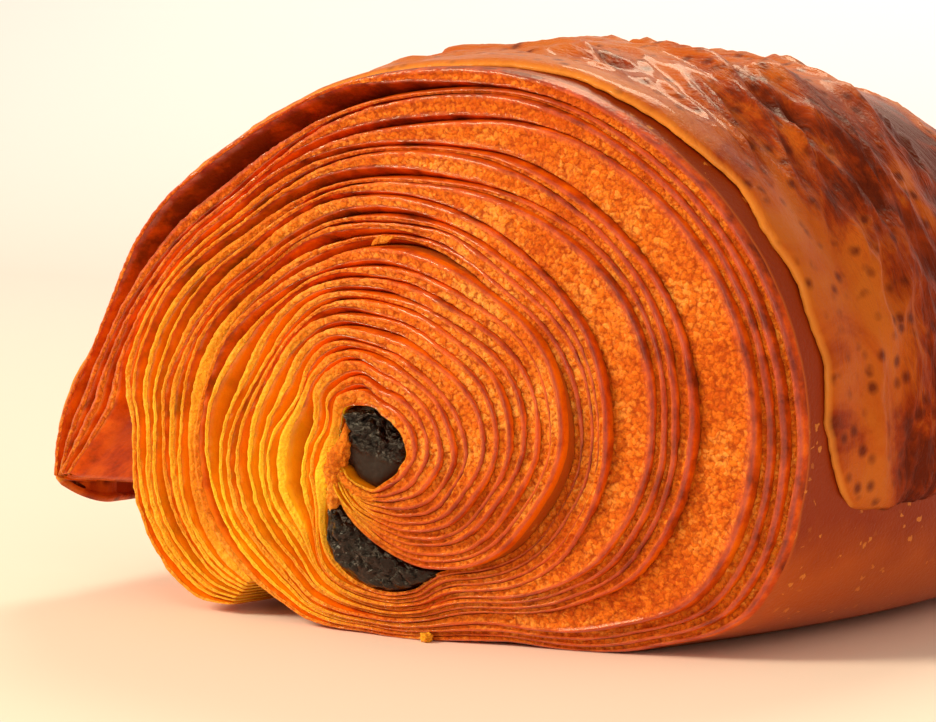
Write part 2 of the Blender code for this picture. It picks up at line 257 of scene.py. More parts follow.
def place(turn, radius, y, in_flap=False, floor=0.0):
    """Points of the roll in metres, from winding angle, distance from the centre line and place along it."""
    turn, radius, y = np.broadcast_arrays(turn, radius, y)
    fullness = np.clip(radius / rim_radius(turn), 0.0, 1.0) ** 2
    front = HALF_LENGTH - between(RIM_SETBACK, turn % 360.0)
    swell = (front**2 - np.minimum(y * y, front**2 * 1.3)) / HALF_LENGTH**2
    top = smooth_step(-0.3, 0.6, np.sin(np.radians(turn)))
    towards_far = np.maximum(0.0, (y - TAPER_FROM) / (HALF_LENGTH - TAPER_FROM))
    taper = (FAR_END_TAPER + FAR_TOP_DROP * top) * towards_far**TAPER_POWER
    radius = radius * (1 + fullness * (BULGE * swell - taper))
    sag = 0.0
    if in_flap:
        sag = FLAP_SAG * smooth_step(FLAP_START, FLAP_END, turn) * smooth_step(-0.95, -0.7, y / HALF_LENGTH)
    angle = np.radians(turn + sag)
    z = np.maximum(CENTRE[2] + radius * np.sin(angle), floor)
    return np.stack((CENTRE[0] + radius * np.cos(angle), CENTRE[1] + y, z), axis=-1) * MM


def even_turns(radius_at, first, last, spacing):
    """Winding angles from first to last that lie evenly along a spiral."""
    fine = np.linspace(first, last, 3000)
    travelled = np.concatenate(([0.0], np.cumsum(np.radians(np.diff(fine)) * radius_at(fine)[1:])))
    count = int(travelled[-1] / spacing) + 1
    return np.interp(np.linspace(0.0, travelled[-1], count), travelled, fine)


def grid_mesh(name, points, attributes, closed_rows):
    """A mesh of a grid of points[column, row], its row seam and its two ends closed where asked."""
    columns, rows = points.shape[:2]
    bm = bmesh.new()
    bmesh.ops.create_grid(bm, x_segments=columns - 1, y_segments=rows - 1, size=0.5)
    mesh = bpy.data.meshes.new(name)
    bm.to_mesh(mesh)
    bm.free()
    flat = np.empty(len(mesh.vertices) * 3)
    mesh.vertices.foreach_get("co", flat)
    flat = flat.reshape(-1, 3)
    column = np.rint((flat[:, 0] + 0.5) * (columns - 1)).astype(int)
    row = np.rint((flat[:, 1] + 0.5) * (rows - 1)).astype(int)
    mesh.vertices.foreach_set("co", points[column, row].astype(np.float32).ravel())
    for label, values in attributes.items():
        layer = mesh.attributes.new(label, "FLOAT", "POINT")
        spread = np.broadcast_to(values, (columns, rows))[column, row]
        layer.data.foreach_set("value", spread.astype(np.float32))
    bm = bmesh.new()
    bm.from_mesh(mesh)
    bmesh.ops.remove_doubles(bm, verts=bm.verts[:], dist=2e-7)
    if closed_rows:
        open_edges = [edge for edge in bm.edges if edge.is_boundary]
        bmesh.ops.holes_fill(bm, edges=open_edges, sides=0)
    bmesh.ops.recalc_face_normals(bm, faces=bm.faces[:])
    bm.to_mesh(mesh)
    bm.free()
    mesh.shade_smooth()
    return mesh


def add_piece(name, mesh, material, slot_name, *nodes):
    """Links a finished mesh as a piece that rides on the pastry and hides the CAD nodes it takes the place
    of.
    """
    mesh.materials.append(material)
    piece = bpy.data.objects.new(name, mesh)
    bpy.context.scene.collection.objects.link(piece)
    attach(piece, "root")
    if nodes:
        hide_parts(*nodes)
    return piece


# The leaves

# Stations across a leaf's cut edge, from its inner face to its outer one: (kind, place within its part)
FRONT_STATIONS = (
    ("deep_in", 0.0), ("wall_in", 0.0), ("wall_in", 0.4), ("wall_in", 0.8), ("wall_in", 1.0),
    ("tread", 0.0), ("tread", 0.14), ("tread", 0.28), ("tread", 0.42), ("tread", 0.56),
    ("tread", 0.70), ("tread", 0.85), ("bead", 0.0), ("bead", 0.35), ("bead", 0.75), ("bead", 1.0),
    ("wall_out", 0.0), ("deep_out", 0.0),
)
BACK_STATIONS = (
    ("deep_in", 0.0), ("wall_in", 0.6), ("tread", 0.0), ("tread", 0.33), ("tread", 0.66),
    ("bead", 0.1), ("bead", 0.6), ("bead", 1.0), ("deep_out", 0.0),
)
CRUMB_SPOT = (6.4, -40.6, 0.45)
CRUMB_SIZE = (0.55, 0.6, 0.45)
LEAF_SPACING = 0.33
OVERLAP = 0.05
BEAD_WIDTH = 0.30
SIDE_ROWS = 3
OUTER_SIDE_ROWS = 17

# Leaves thick or thin over a stretch of the spiral: (leaf, middle angle, reach in degrees, extra width)
WIDE_LEAVES = (
    (5, 25.0, 40.0, 0.5), (4, 380.0, 44.0, 3.6), (8, 366.0, 58.0, 4.4), (1, 372.0, 30.0, 0.5),
    (7, 372.0, 30.0, 0.5), (10, 497.0, 30.0, 0.5), (11, 497.0, 34.0, 1.5), (6, 452.0, 30.0, 0.8),
    (3, 470.0, 40.0, 0.6), (9, 455.0, 30.0, 0.8), (3, 190.0, 26.0, 0.8), (1, 548.0, 24.0, 1.0),
    (4, 540.0, 24.0, 0.7), (2, 460.0, 80.0, -0.6), (5, 455.0, 80.0, -0.6), (7, 465.0, 70.0, -0.55),
    (10, 440.0, 50.0, -0.6), (4, 120.0, 60.0, -0.4), (8, 110.0, 60.0, -0.45), (11, 85.0, 30.0, 0.4),
)
# Leaves whose inner wall lies open over a stretch: (leaf, middle angle, reach, extra width of the wall)
OPEN_WALLS = (
    (11, 494.0, 36.0, 2.4), (8, 500.0, 30.0, 0.5), (6, 478.0, 34.0, 0.5), (4, 505.0, 30.0, 0.7),
    (3, 458.0, 30.0, 0.35), (9, 480.0, 30.0, 0.4), (1, 500.0, 34.0, 0.9), (10, 150.0, 40.0, 0.5),
    (0, 478.0, 40.0, 0.8), (7, 160.0, 40.0, 0.3),
)
# Leaves set back or forward over a stretch: (leaf, middle angle, reach, distance forward in mm)
SET_FORWARD = (
    (0, 335.0, 40.0, -2.1), (1, 335.0, 38.0, -1.3), (2, 338.0, 36.0, -0.7), (11, 0.0, 60.0, 0.5),
    (11, 497.0, 34.0, 0.2), (10, 480.0, 30.0, -0.4), (11, 360.0, 60.0, -0.6), (10, 360.0, 60.0, -0.3),
    (0, 447.0, 26.0, -1.3), (1, 447.0, 24.0, -0.6), (11, 85.0, 28.0, 0.6),
)


def bump_at(turn, centre, reach):
    return np.exp(-(((turn - centre) / reach) ** 2))


def away_from(turn, centre):
    """Degrees from a plain angle, from -180 to 180."""
    return (turn - centre + 180.0) % 360.0 - 180.0


def leftness(turn):
    """How far an angle belongs to the left half, where each leaf shows its inner wall beside its cut edge."""
    return np.exp(-((away_from(turn, 164.0) / 90.0) ** 4))


def upperness(turn):
    """How far an angle belongs to the top, where a dark caramel line runs inside each cut edge."""
    return np.exp(-((away_from(turn, 105.0) / 78.0) ** 4))


def thinness(turn):
    """How far an angle belongs to the lower left, where cut edges are thin crests between wide walls."""
    return np.exp(-((away_from(turn, 203.0) / 62.0) ** 4))


def leaf_edges(turn):
    """Shares of the sheet's thickness at which its leaves meet, one row of LEAVES + 1 for each angle."""
    widths = []
    for leaf in range(LEAVES):
        width = 1.0 + 0.40 * grain(turn / 95.0, leaf * 5.3, 0.0, 11)
        width = width + 0.16 * smooth_step(180.0, 300.0, turn) * grain(turn / 30.0, leaf * 3.1, 0.0, 12)
        width = width + 0.55 * leftness(turn) * grain(turn / 46.0, leaf * 4.3, 0.0, 16)
        for wide_leaf, centre, reach, extra in WIDE_LEAVES:
            if leaf == wide_leaf:
                width = width + extra * bump_at(turn, centre, reach)
        widths.append(np.maximum(width, 0.32))
    edges = np.cumsum(np.stack([np.zeros_like(turn)] + widths, axis=-1), axis=-1)
    edges = edges / edges[..., -1:]
    nominal = np.arange(LEAVES + 1) / LEAVES
    return mix(edges, nominal, smooth_step(512.0, FLAP_START, turn)[..., None])


def crevice(turn, edge):
    """How far apart two leaves stand at an end."""
    if edge == 0:
        edge, turn = LEAVES, turn - 360.0
    uneven = np.maximum(0.0, 0.35 + grain(turn / 26.0, edge * 4.7, 0.0, 13))
    return 0.03 + (0.05 + 0.10 * leftness(turn)) * uneven


def open_wall(leaf, turn, width):
    """How much of a leaf's width its sloping inner wall takes up at an end."""
    if leaf == 0:
        fraction = 0.0 * turn
    else:
        uneven = 0.34 + 0.26 * grain(turn / 35.0, leaf * 2.7, 0.0, 15)
        fraction = leftness(turn) * uneven + 0.30 * thinness(turn)
    wall = fraction * width
    for open_leaf, centre, reach, extra in OPEN_WALLS:
        if leaf == open_leaf:
            wall = wall + extra * bump_at(turn, centre, reach)
    return np.clip(wall, 0.0, np.maximum(width - 0.42, 0.0))


def end_rows(leaf, turn, edges, end, stations):
    """Radius, y and looks of each station of a leaf's cut edge at one end."""
    in_flap = leaf >= FLAP_LEAVES_FROM
    low = sheet_radius(turn, edges[:, leaf], in_flap)
    high = sheet_radius(turn, edges[:, leaf + 1], in_flap)
    width, middle = high - low, 0.5 * (low + high)
    arc = np.concatenate(([0.0], np.cumsum(np.radians(np.diff(turn)) * middle[1:])))
    seed = 40 if end < 0 else 70
    left, upper = leftness(turn), leftness(turn) * upperness(turn)
    plain_lip = 0.9 * left * (1 - smooth_step(*FLAP_BROWNS, turn) if in_flap else 1.0)
    thick = np.clip(width, 0.2, 1.3)
    gap_in, gap_out = crevice(turn, leaf), crevice(turn, leaf + 1)
    wall = open_wall(leaf, turn, width)

    def wobble(line, fuzz):
        slow = 0.03 * grain(arc / 3.4, line * 3.3, 0.0, seed)
        quick = 0.8 * grain(arc / 1.3, line * 3.3, 0.0, seed + 1)
        quick = quick + 0.9 * grain(arc / 0.5, line, 0.0, seed + 8)
        return (slow + fuzz * quick) * thick

    edge_in = low + 0.5 * gap_in + wall + wobble(leaf, 0.03)
    edge_out = high - 0.5 * gap_out + wobble(leaf + 1, 0.035 + 0.045 * left)
    span = np.maximum(edge_out - edge_in, 0.12)
    bead = np.minimum(BEAD_WIDTH, 0.42 * span)
    forward = 0.5 * grain(turn / 44.0, leaf * 1.9, 3.0, seed + 2)
    forward = forward + 0.12 * grain(arc / 3.2, leaf * 2.3, 5.0, seed + 3)
    forward = forward + 0.10 * (0.3 + left) * grain(arc / 0.9, leaf * 2.9, 5.0, seed + 3)
    forward = forward + 0.9 * left * grain(turn / 38.0, leaf * 6.1, 1.0, seed + 4)
    for moved_leaf, centre, reach, distance in SET_FORWARD:
        if leaf == moved_leaf:
            forward = forward + distance * bump_at(turn, centre, reach)
    depth_in, depth_out = 0.35 + 2.0 * gap_in + 1.7 * wall, 0.35 + 2.0 * gap_out
    # Painted shade: the deeper the gap beside a leaf, the darker its floor and lower inner wall are painted.
    gap_shade_amount = np.clip((depth_in - 0.9) / 2.6, 0.0, 0.9)
    radii, ys, skins, lips, gap_shades = [], [], [], [], []
    for kind, share in stations:
        skin, lip, gap_shade = 1.0, 0.0, 0.0
        if kind == "deep_in":
            radius, back, gap_shade = low - OVERLAP, depth_in + 0.5, np.maximum(gap_shade_amount, 0.3)
            if leaf == 0:
                radius = np.where(turn < INNER_TURN_END, low, radius)
        elif kind == "wall_in":
            radius = mix(low + 0.4 * gap_in, edge_in, share * 0.98)
            back = mix(depth_in, 0.20, share**0.8)
            gap_shade = gap_shade_amount * (1 - 0.8 * share)
            lip = upper * 0.9 if share == 1.0 else 0.0
        elif kind == "deep_out":
            radius, back, gap_shade = high + OVERLAP, depth_out + 0.5, 0.3
        elif kind == "wall_out":
            radius, back = mix(high, edge_out, 0.8), 0.6 * depth_out + 0.15
        elif kind == "bead":
            radius = edge_out - (1 - share) * bead
            back = -0.16 * (1 - 0.9 * left) * math.sin(math.pi * min(0.25 + 0.75 * share, 0.94))
            skin = (0.25 + 0.75 * share) * (1 - 0.9 * left)
            lip = (0.35 + 0.65 * share) * (1 - plain_lip)
        else:
            radius = edge_in + share * (span - bead)
            sag = 0.16 * (1 - left) * math.sin(math.pi * (0.1 + 0.8 * share))
            back = sag * thick + 0.45 * left * (1 - share) * span
            if share < 0.2:
                lip = upper * (1.0 if share == 0.0 else 0.45)
            skin = left * max(0.0, 0.8 - 4 * share)
            crumb = grain(arc / 0.8, radius / 0.65, leaf, seed + 5)
            crumb = crumb + 0.5 * grain(arc / 0.42, radius / 0.4, leaf, seed + 6)
            back = back + 0.11 * crumb * thick
        y = half_length(end) - dome_depth(turn, mix(radius, middle, 0.6), end) + forward - back
        radii.append(radius)
        ys.append(end * y)
        for rows, value in ((skins, skin), (lips, lip), (gap_shades, gap_shade)):
            rows.append(np.broadcast_to(value, turn.shape))
    return [np.stack(rows, axis=-1) for rows in (radii, ys, skins, lips, gap_shades)]


def side_rows(radius, first_y, last_y, count):
    """Radius and y of rows along a leaf's long face, between its two ends and closer together there."""
    share = (np.arange(count) + 1.0) / (count + 1.0)
    share = 0.5 - 0.5 * np.cos(np.pi * share) if count > SIDE_ROWS else share
    ys = first_y[:, None] + (last_y - first_y)[:, None] * share
    return np.repeat(radius[:, None], count, axis=1), ys


def leaf_darkening(leaf, turn):
    """How dark a leaf is, 0 to 1: most at the top of the outer turn and at its right, least at the lower
    left.
    """
    outside = smooth_step(250.0, 420.0, turn) * (0.45 + 0.55 * leaf / (LEAVES - 1))
    plain = away_from(turn, 85.0)
    top = np.exp(-((plain / 55.0) ** 2))
    shoulder = np.exp(-(((plain - 45.0) / 32.0) ** 2)) * outside
    right = np.exp(-((away_from(turn, 350.0) / 60.0) ** 2))
    uneven = (0.22 + 0.35 * leftness(turn)) * grain(turn / 50.0, leaf * 1.7, 0.0, 21)
    return np.clip(0.26 + 0.28 * top * outside + 0.45 * right * outside + 0.3 * shoulder + uneven, 0.0, 1.0)


def paleness(leaf, turn):
    """How pale and yellow a leaf is painted, 0 to 1: most on the left side, partly paler dough and partly a
    painted glow of light through the thin leaves.
    """
    plain = away_from(turn, 198.0)
    uneven = np.clip(0.74 + 1.1 * grain(turn / 60.0, leaf * 2.9, 0.0, 22), 0.05, 1.0)
    if leaf >= FLAP_LEAVES_FROM:
        uneven = uneven * (1 - 0.85 * smooth_step(*FLAP_BROWNS, turn))
    return uneven * np.exp(-((plain / 49.0) ** 2)) * (1 - 0.35 * smooth_step(480.0, 560.0, turn))


def build_leaf(leaf, material):
    """One leaf of the sheet: a closed band that winds round the roll and runs from end to end."""
    in_flap = leaf >= FLAP_LEAVES_FROM
    last_turn = FLAP_END if in_flap else SHEET_END
    middle_share = (leaf + 0.5) / LEAVES
    turn = even_turns(lambda t: sheet_radius(t, middle_share, in_flap), SHEET_START, last_turn, LEAF_SPACING)
    edges = leaf_edges(turn)
    front = end_rows(leaf, turn, edges, -1, FRONT_STATIONS)
    back = [rows[:, ::-1] for rows in end_rows(leaf, turn, edges, 1, BACK_STATIONS)]
    outermost = leaf == LEAVES - 1
    rows_out = OUTER_SIDE_ROWS if outermost else SIDE_ROWS
    outer = sheet_radius(turn, edges[:, leaf + 1], in_flap) + (0.0 if outermost else OVERLAP)
    inner = sheet_radius(turn, edges[:, leaf], in_flap) - OVERLAP
    out_radius, out_y = side_rows(outer, front[1][:, -1], back[1][:, 0], rows_out)
    if outermost:
        # Under the crust this leaf sinks with it
        under = smooth_step(2.5, 6.5, out_y - out_y[:, :1]) * smooth_step(2.5, 6.5, out_y[:, -1:] - out_y)
        out_radius = out_radius - SETTLED * under * smooth_step(CRUST_FOOT, CRUST_FOOT + 12.0, turn)[:, None]
    in_radius, in_y = side_rows(inner, back[1][:, -1], front[1][:, 0], SIDE_ROWS)
    closing = [rows[:, :1] for rows in front]
    radius = np.concatenate((front[0], out_radius, back[0], in_radius, closing[0]), axis=1)
    y = np.concatenate((front[1], out_y, back[1], in_y, closing[1]), axis=1)
    plain_out, plain_in = np.ones_like(out_y), np.ones_like(in_y)
    skin = np.concatenate((front[2], plain_out, back[2], plain_in, closing[2]), axis=1)
    lip = np.concatenate((front[3], 0 * plain_out, back[3], 0 * plain_in, closing[3]), axis=1)
    gap_shade = np.concatenate((front[4], 0 * plain_out, back[4], 0 * plain_in, closing[4]), axis=1)
    floor = np.where(turn > INNER_TURN_END, 0.8 * (1 - middle_share), 0.0)[:, None]
    points = place(turn[:, None], radius, y, in_flap, floor)
    bake_and_shade, pale = leaf_darkening(leaf, turn)[:, None], paleness(leaf, turn)[:, None]
    band = np.zeros_like(radius)
    if outermost:
        outer_face = slice(len(FRONT_STATIONS), len(FRONT_STATIONS) + rows_out)
        band[:, outer_face] = smooth_step(334.0, 360.0, turn)[:, None] + 0.01
        # Painted shade: the outermost leaf's open inner wall at the upper left is painted dark, as if in
        # shadow.
        bake_and_shade = np.maximum(bake_and_shade, 0.95 * bump_at(turn, 492.0, 40.0)[:, None])
        pale = pale * 0.3
    attributes = {"skin": skin, "lip": lip, "gap_shade": gap_shade, "bake_and_shade": bake_and_shade, "pale": pale, "band": band}
    mesh = grid_mesh(f"leaf_{leaf + 1:02d}", points, attributes, closed_rows=True)
    return add_piece(f"leaf_{leaf + 1:02d}", mesh, material, "baked_dough", "pastry")


# Torn crumb at the middle of the spiral: (x, z, half width) in mm on the shown end, from the centre line
HOLE_WALL = (
    (-3.6, 2.1, 0.25), (-3.75, 0.7, 0.5), (-4.2, -0.6, 0.85), (-5.0, -1.8, 1.0), (-5.4, -2.9, 0.85),
    (-5.5, -4.4, 0.75), (-5.9, -5.6, 0.6), (-6.6, -7.1, 0.35),
)
HOLE_SILL = (
    (-5.0, -1.9, 0.25), (-4.05, -3.0, 0.45), (-3.0, -3.95, 0.45), (-1.7, -4.55, 0.38),
    (-0.1, -4.8, 0.2),
)
FLAKE = ((-1.9, 18.1, 0.10), (-1.2, 18.6, 0.32), (-0.3, 18.7, 0.30), (0.5, 19.0, 0.08))


def build_strand(name, keys, sunk, depth, material):
    """A fuzzy torn strip of crumb that lies along a line on the shown end."""
    along = np.linspace(0.0, 1.0, 90)
    at = np.linspace(0.0, 1.0, len(keys))
    x, z, wide = (between(tuple(zip(at, values)), along) for values in zip(*keys))
    slope_x, slope_z = np.gradient(x), np.gradient(z)
    norm = np.hypot(slope_x, slope_z)
    around = np.linspace(0.0, 2 * math.pi, 41)[None, :]
    fuzz = 1 + 0.30 * grain(along[:, None] * 14.0, 2.0 * np.cos(around), 2.0 * np.sin(around), 61)
    fuzz = fuzz + 0.16 * grain(along[:, None] * 40.0, 4.0 * np.cos(around), 4.0 * np.sin(around), 62)
    closing = np.sqrt(np.clip(1 - (2 * along - 1) ** 8, 0.0, 1.0))[:, None]
    off = wide[:, None] * fuzz * closing * np.cos(around)
    px = x[:, None] - (slope_z / norm)[:, None] * off
    pz = z[:, None] + (slope_x / norm)[:, None] * off
    turn, radius = np.degrees(np.arctan2(pz, px)), np.hypot(px, pz)
    lift = np.sin(around) * fuzz * closing
    lift = np.where(lift > 0, 0.8 * wide[:, None] * lift, depth * lift)
    y = -(half_length(-1) - dome_depth(turn, radius, -1)) + sunk - lift
    points = place(turn, radius, y)
    points[:, -1] = points[:, 0]
    attributes = {"skin": 0.0, "lip": 0.0, "gap_shade": 0.0, "bake_and_shade": 0.35, "pale": 0.1, "band": 0.0}
    mesh = grid_mesh(name, points, attributes, closed_rows=True)
    return add_piece(name, mesh, material, "baked_dough", "pastry")


def build_crumb(material):
    """A loose crumb on the floor at the foot of the shown end."""
    bm = bmesh.new()
    bmesh.ops.create_icosphere(bm, subdivisions=4, radius=1.0)
    for vert in bm.verts:
        spot = np.array(vert.co)
        lump = 1 + 0.35 * grain(1.3 * spot[0], 1.3 * spot[1], 1.3 * spot[2], 64)
        lump = lump + 0.2 * grain(3.5 * spot[0], 3.5 * spot[1], 3.5 * spot[2], 65)
        vert.co = Vector(spot * float(lump) * np.array(CRUMB_SIZE) + np.array(CRUMB_SPOT)) * MM
        vert.co.z = max(vert.co.z, 0.0)
    mesh = bpy.data.meshes.new("loose_crumb")
    bm.to_mesh(mesh)
    bm.free()
    for label, value in (("bake_and_shade", 0.2), ("pale", 0.4)):
        layer = mesh.attributes.new(label, "FLOAT", "POINT")
        layer.data.foreach_set("value", np.full(len(mesh.vertices), value, np.float32))
    mesh.shade_smooth()
    return add_piece("loose_crumb", mesh, material, "baked_dough", "pastry")


# The crust

# Ridges of the crust: ((winding angle, y in mm) points, height, width in front, width behind)
CRUST_RIDGES = (
    (((372, -20.1), (382, -20.0), (395, -20.1), (408, -18.8), (417, -18.8), (430, -15.5)), 0.85, 3.2, 0.9),
    (((358, -21.9), (364, -22.5), (372, -22.2)), 0.8, 1.5, 1.1),
    (((404, 3.0), (409, 0.6), (416, -3.9), (426, -7.0)), 0.45, 3.5, 1.0),
    (((380, -8.0), (395, -9.5), (412, -11.5), (430, -9.0)), 0.4, 2.0, 0.8),
    (((432, -27.0), (450, -22.0), (470, -24.0)), 0.6, 2.5, 0.9),
)
# Low and high spots of the crust: (winding angle, y in mm, reach in degrees, height in mm)
CRUST_DENTS = (
    (450.0, -29.0, 40.0, -0.5), (450.0, 8.0, 40.0, -1.0), (450.0, 33.0, 40.0, -1.2),
    (412.0, 8.0, 14.0, -0.8), (464.0, -31.0, 12.0, 0.9), (468.0, -23.0, 10.0, 0.5),
    (454.0, -22.0, 8.0, -0.5), (432.0, -9.0, 12.0, -1.2), (424.0, -1.0, 12.0, -1.0),
    (426.0, 14.0, 16.0, -1.4), (422.0, 26.0, 16.0, -0.6),
)


def crust_relief(turn, y, from_front):
    """Height of the crust in mm, and how far each point is on top, busy with wrinkles and on a pleat."""
    angle = np.radians(turn)
    round_way = ROUND_RADIUS * angle
    top = smooth_step(-0.3, 0.35, np.sin(angle))
    high_up = smooth_step(0.25, 0.85, np.sin(angle))
    warp = 2.2 * grain(round_way / 13.0, y / 16.0, 0.0, 31) + 0.8 * grain(round_way / 5.0, y / 6.0, 0.0, 37)
    across = y - 0.19 * round_way + warp
    along = round_way + 0.19 * y
    blister = grain(across / 13.0, along / 21.0, 0.0, 38)
    pleat = 1.0 - 2.2 * np.abs(grain(across / 12.0, along / 34.0, 0.0, 33))
    lens = 1.0 - 2.2 * np.abs(grain((across + 0.25 * along) / 5.6, along / 15.0, 1.0, 34))
    small = 1.0 - 2.2 * np.abs(grain((across - 0.15 * along) / 2.4, along / 10.0, 2.0, 39))
    fine = 1.0 - 2.4 * np.abs(grain(across / 1.15, along / 7.0, 2.0, 35))
    behind = smooth_step(7.0, 14.0, from_front + 6.0 * high_up)
    behind = np.maximum(behind, smooth_step(-22.0, -16.0, y))
    busy = behind * smooth_step(-0.5, 0.25, grain(round_way / 13.0, y / 13.0, 7.0, 36) + 0.2 * high_up)
    height = WRINKLE * (0.15 + 0.85 * top) * (0.55 * blister + 0.62 * pleat - WRINKLE_SUNK)
    height = height + (0.15 + 0.85 * top) * (0.15 + 0.85 * behind) * 0.62 * lens
    height = height + busy * (0.40 * small + 0.18 * fine)
    for centre, along_y, reach, depth in CRUST_DENTS:
        height = height + depth * bump_at(turn, centre, reach) * bump_at(y, along_y, DENT_REACH)
    for keys, rise, width, behind_width in CRUST_RIDGES:
        off = y - between(keys, turn) - 0.5 * grain(round_way / 3.0, y / 9.0, 3.0, 45)
        first, last = keys[0][0], keys[-1][0]
        reach = smooth_step(first - 6.0, first + 6.0, turn) * smooth_step(last + 9.0, last - 5.0, turn)
        height = height + reach * rise * np.exp(-np.abs(off / np.where(off < 0, width, behind_width)) ** 1.5)
    return height, top, busy, pleat


def rolled_under(distance, reach, drop):
    """How far a torn edge curls down at a distance from it."""
    return drop * (1 - np.sqrt(np.clip(distance / reach, 0.0, 1.0)))


def build_crust(material):
    """The outermost leaf: a glazed, blistered shell that stops short of both ends."""
    tip = FLAP_END + 0.6
    along = even_turns(lambda t: between(OUTER_FACE, t), CRUST_FOOT, tip, CRUST_SPACING)
    travel = (along - along[0]) / (along[-1] - along[0])
    # Rows lie closer together at the torn edges; the place along is a guess until those are known
    edge = np.array((0.0, 0.12, 0.35, 0.75))
    share = np.concatenate((edge / 80.0, np.linspace(0.018, 0.982, CRUST_ROWS), 1 - edge[::-1] / 80.0))
    guess = -34.0 + 70.0 * share
    foot = CRUST_FOOT + CRUST_FOOT_RISE * np.clip(guess - CRUST_FOOT_FROM, 0.0, 45.0)
    foot = foot + 0.9 * grain(guess / 5.0, 2.0, 0.0, 44)
    turn = foot + (tip - foot) * travel[:, None]
    torn_front, torn_back = (
        CRUST_EDGE_WAVE * grain(turn / 9.0, side, 0.0, 8) + 0.25 * grain(turn / 2.0, side, 0.0, 9)
        for side in (-1.0, 1.0))
    back_off = between(CRUST_EDGE, turn % 360.0) + 1.8 * (1 - smooth_step(0.0, 6.0, turn - foot)) ** 2
    rim = between(RIM_SETBACK, turn % 360.0)
    far_rim = between(RIM_SETBACK, (turn + FAR_END_TURNED) % 360.0)
    start = -(HALF_LENGTH - rim) + np.maximum(back_off + torn_front, 0.7)
    stop = half_length(1) - far_rim - np.maximum(back_off + torn_back, 0.7)
    y = start + (stop - start) * share
    height, top, busy, pleat = crust_relief(turn, y, y - start)
    from_edge = np.minimum(y - start, stop - y)
    calm = 0.3 + 0.7 * smooth_step(0.0, CALM_EDGE, from_edge)
    settled = SETTLED * smooth_step(2.0, 8.0, from_edge) * smooth_step(6.0, 20.0, turn - foot)
    relief = calm * height
    below, room = np.maximum(DENT_SOFT - relief, 0.0), DENT_SOFT - DENT_FLOOR
    relief = np.maximum(relief, DENT_SOFT) - room * (1 - np.exp(-below / room))
    lift = CRUST_STEP - settled + relief
    rolled = rolled_under(from_edge, 0.7, 0.6)
    rolled = rolled + rolled_under((turn - foot) * math.radians(ROUND_RADIUS), 1.6, 0.9)
    rolled = rolled + rolled_under((tip - turn) * math.radians(TIP_RADIUS), 0.9, 0.6)
    points = place(turn, between(OUTER_FACE, turn) + lift - rolled, y, in_flap=True)
    upright = np.sin(np.radians(turn))
    attributes = {
        # The torn edge is pale: partly its crumb's own colour, partly a painted highlight on the lit rim.
        "top": top, "busy": busy, "edge": 1 - smooth_step(0.05, 0.55, from_edge),
        # Painted shade in the creases, painted highlight on the ridges.
        "crease_shade": np.clip(-pleat, 0.0, 1.0), "ridge_highlight": np.clip(2.0 * pleat - 1.2, 0.0, 1.0),
        # The top of the roll, painted lighter as if lit from above.
        "high": smooth_step(0.72, 0.98, upright),
        # Painted shade behind the front ridge and below the top.
        "dark": smooth_step(-21.5, -17.0, y) * smooth_step(1.0, 0.72, upright),
    }
    mesh = grid_mesh("crust", points, attributes, closed_rows=False)
    crust = add_piece("crust", mesh, material, "baked_dough", "pastry")
    shell = crust.modifiers.new("thickness", "SOLIDIFY")
    shell.thickness = CRUST_THICKNESS * MM
    shell.offset = -1.0
    return crust


# The chocolate


def stick_rows(kind, share, around):
    """Winding angle and radius of points of a stick's section, share 0 at its middle to 1 at its face."""
    if kind == "upper":
        turn = SHEET_START + np.degrees(around)
        return turn, share * (between(CHANNEL_FACE, turn) - UPPER_CLEARANCE)
    half = 0.5 * (POCKET_END - POCKET_START)
    towards = np.cos(around)
    turn = POCKET_START + half * (1 + share * towards)
    inner = between(OUTER_FACE, turn - 360.0) + LOWER_CLEARANCE
    outer = between(POCKET_FACE, turn) - LOWER_CLEARANCE
    thick = np.maximum(outer - inner, 0.3)
    round_end = np.abs(np.sin(around)) ** 0.5 * np.sign(np.sin(around))
    return turn, inner + thick * (0.5 + 0.5 * share * round_end)


def bubbles(x, y, z, size, seed):
    """Rounded bumps that crowd together, from 0 to 1."""
    return np.abs(grain(x / size, y / size, z / size, seed))


